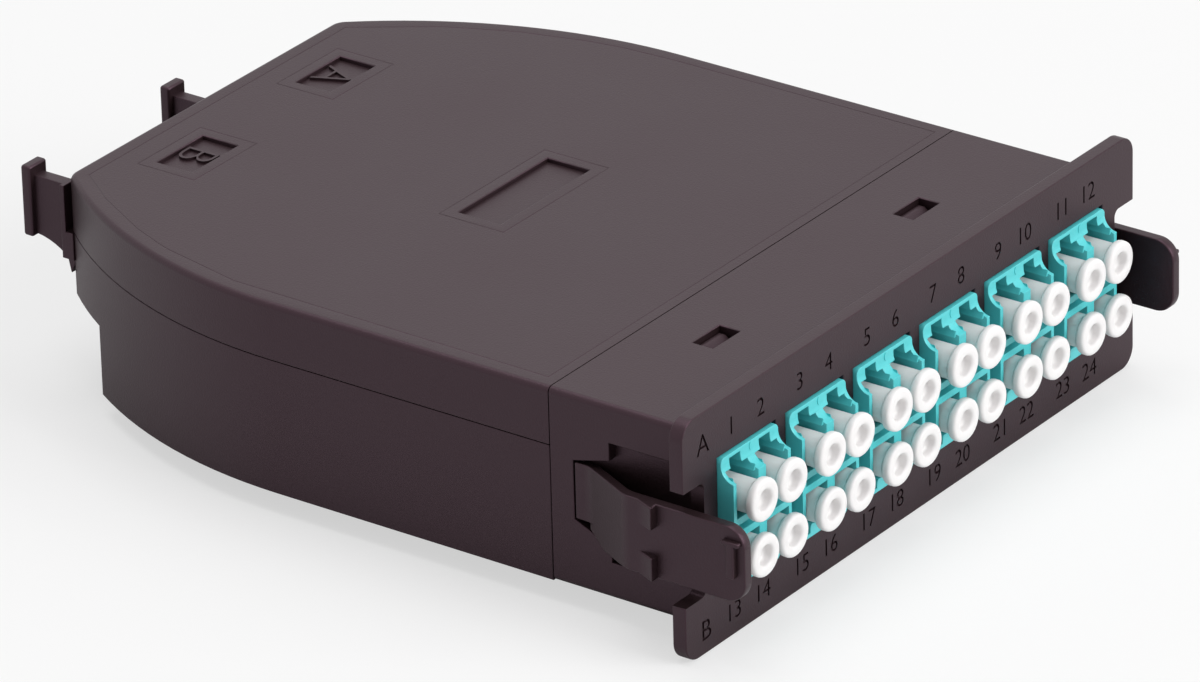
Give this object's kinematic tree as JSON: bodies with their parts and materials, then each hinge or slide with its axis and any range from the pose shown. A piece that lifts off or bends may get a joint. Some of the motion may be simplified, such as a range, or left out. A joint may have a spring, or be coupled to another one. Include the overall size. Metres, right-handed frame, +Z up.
{
  "type": "fibre cassette",
  "caption": "Snap-in fibre cassette: front plate with rows of aqua duplex adapters under white dust caps, side latch arms, tapered black housing with two multi-fibre ports at the rear.",
  "frame": {"origin": "centre of the bounding box on the plane of the front plate's lower edge", "axes": "+X along the rows towards the last port, +Y from the front plate to the rear ports, +Z up"},
  "size_m": [0.1, 0.127, 0.0328],
  "materials": {
    "housing_black": "fine moulded grain",
    "adapter_aqua": "satin",
    "cap_white": "satin, slightly translucent",
    "trunk_adapter_black": "satin",
    "trunk_cap_black": "satin"
  },
  "bodies": {
    "cassette": {"front_frame": "housing_black", "rear_base": "housing_black", "rear_cover": "housing_black", "lc_adapter_1": "adapter_aqua", "lc_adapter_2": "adapter_aqua", "lc_adapter_3": "adapter_aqua", "lc_adapter_4": "adapter_aqua", "lc_adapter_5": "adapter_aqua", "lc_adapter_6": "adapter_aqua", "mpo_adapter_a": "trunk_adapter_black", "mpo_adapter_b": "trunk_adapter_black"},
    "left_latch": {"left_latch_arm": "housing_black"},
    "right_latch": {"right_latch_arm": "housing_black"},
    "cap_01": {"dust_cap_01": "cap_white"},
    "cap_02": {"dust_cap_02": "cap_white"},
    "cap_03": {"dust_cap_03": "cap_white"},
    "cap_04": {"dust_cap_04": "cap_white"},
    "cap_05": {"dust_cap_05": "cap_white"},
    "cap_06": {"dust_cap_06": "cap_white"},
    "cap_07": {"dust_cap_07": "cap_white"},
    "cap_08": {"dust_cap_08": "cap_white"},
    "cap_09": {"dust_cap_09": "cap_white"},
    "cap_10": {"dust_cap_10": "cap_white"},
    "cap_11": {"dust_cap_11": "cap_white"},
    "cap_12": {"dust_cap_12": "cap_white"},
    "cap_13": {"dust_cap_13": "cap_white"},
    "cap_14": {"dust_cap_14": "cap_white"},
    "cap_15": {"dust_cap_15": "cap_white"},
    "cap_16": {"dust_cap_16": "cap_white"},
    "cap_17": {"dust_cap_17": "cap_white"},
    "cap_18": {"dust_cap_18": "cap_white"},
    "cap_19": {"dust_cap_19": "cap_white"},
    "cap_20": {"dust_cap_20": "cap_white"},
    "cap_21": {"dust_cap_21": "cap_white"},
    "cap_22": {"dust_cap_22": "cap_white"},
    "cap_23": {"dust_cap_23": "cap_white"},
    "cap_24": {"dust_cap_24": "cap_white"},
    "mpo_cap_a": {"mpo_dust_cap_a": "trunk_cap_black"},
    "mpo_cap_b": {"mpo_dust_cap_b": "trunk_cap_black"}
  },
  "joints": [
    {"name": "left_latch_squeeze", "type": "hinge", "parent": "cassette", "child": "left_latch", "pos_m": [-0.04475, -0.0353, 0.0151], "axis": [0, 0, 1], "range_deg": [0, 3.9], "stiffness_Nm_per_rad": 1.5},
    {"name": "right_latch_squeeze", "type": "hinge", "parent": "cassette", "child": "right_latch", "pos_m": [0.04475, -0.0353, 0.0151], "axis": [0, 0, -1], "range_deg": [0, 3.9], "stiffness_Nm_per_rad": 1.5},
    {"name": "cap_01_pull", "type": "slide", "parent": "cassette", "child": "cap_01", "axis": [0, -1, 0], "range_m": [0, 0.01]},
    {"name": "cap_02_pull", "type": "slide", "parent": "cassette", "child": "cap_02", "axis": [0, -1, 0], "range_m": [0, 0.01]},
    {"name": "cap_03_pull", "type": "slide", "parent": "cassette", "child": "cap_03", "axis": [0, -1, 0], "range_m": [0, 0.01]},
    {"name": "cap_04_pull", "type": "slide", "parent": "cassette", "child": "cap_04", "axis": [0, -1, 0], "range_m": [0, 0.01]},
    {"name": "cap_05_pull", "type": "slide", "parent": "cassette", "child": "cap_05", "axis": [0, -1, 0], "range_m": [0, 0.01]},
    {"name": "cap_06_pull", "type": "slide", "parent": "cassette", "child": "cap_06", "axis": [0, -1, 0], "range_m": [0, 0.01]},
    {"name": "cap_07_pull", "type": "slide", "parent": "cassette", "child": "cap_07", "axis": [0, -1, 0], "range_m": [0, 0.01]},
    {"name": "cap_08_pull", "type": "slide", "parent": "cassette", "child": "cap_08", "axis": [0, -1, 0], "range_m": [0, 0.01]},
    {"name": "cap_09_pull", "type": "slide", "parent": "cassette", "child": "cap_09", "axis": [0, -1, 0], "range_m": [0, 0.01]},
    {"name": "cap_10_pull", "type": "slide", "parent": "cassette", "child": "cap_10", "axis": [0, -1, 0], "range_m": [0, 0.01]},
    {"name": "cap_11_pull", "type": "slide", "parent": "cassette", "child": "cap_11", "axis": [0, -1, 0], "range_m": [0, 0.01]},
    {"name": "cap_12_pull", "type": "slide", "parent": "cassette", "child": "cap_12", "axis": [0, -1, 0], "range_m": [0, 0.01]},
    {"name": "cap_13_pull", "type": "slide", "parent": "cassette", "child": "cap_13", "axis": [0, -1, 0], "range_m": [0, 0.01]},
    {"name": "cap_14_pull", "type": "slide", "parent": "cassette", "child": "cap_14", "axis": [0, -1, 0], "range_m": [0, 0.01]},
    {"name": "cap_15_pull", "type": "slide", "parent": "cassette", "child": "cap_15", "axis": [0, -1, 0], "range_m": [0, 0.01]},
    {"name": "cap_16_pull", "type": "slide", "parent": "cassette", "child": "cap_16", "axis": [0, -1, 0], "range_m": [0, 0.01]},
    {"name": "cap_17_pull", "type": "slide", "parent": "cassette", "child": "cap_17", "axis": [0, -1, 0], "range_m": [0, 0.01]},
    {"name": "cap_18_pull", "type": "slide", "parent": "cassette", "child": "cap_18", "axis": [0, -1, 0], "range_m": [0, 0.01]},
    {"name": "cap_19_pull", "type": "slide", "parent": "cassette", "child": "cap_19", "axis": [0, -1, 0], "range_m": [0, 0.01]},
    {"name": "cap_20_pull", "type": "slide", "parent": "cassette", "child": "cap_20", "axis": [0, -1, 0], "range_m": [0, 0.01]},
    {"name": "cap_21_pull", "type": "slide", "parent": "cassette", "child": "cap_21", "axis": [0, -1, 0], "range_m": [0, 0.01]},
    {"name": "cap_22_pull", "type": "slide", "parent": "cassette", "child": "cap_22", "axis": [0, -1, 0], "range_m": [0, 0.01]},
    {"name": "cap_23_pull", "type": "slide", "parent": "cassette", "child": "cap_23", "axis": [0, -1, 0], "range_m": [0, 0.01]},
    {"name": "cap_24_pull", "type": "slide", "parent": "cassette", "child": "cap_24", "axis": [0, -1, 0], "range_m": [0, 0.01]},
    {"name": "mpo_cap_a_pull", "type": "slide", "parent": "cassette", "child": "mpo_cap_a", "axis": [0, 1, 0], "range_m": [0, 0.01]},
    {"name": "mpo_cap_b_pull", "type": "slide", "parent": "cassette", "child": "mpo_cap_b", "axis": [0, 1, 0], "range_m": [0, 0.01]}
  ]
}
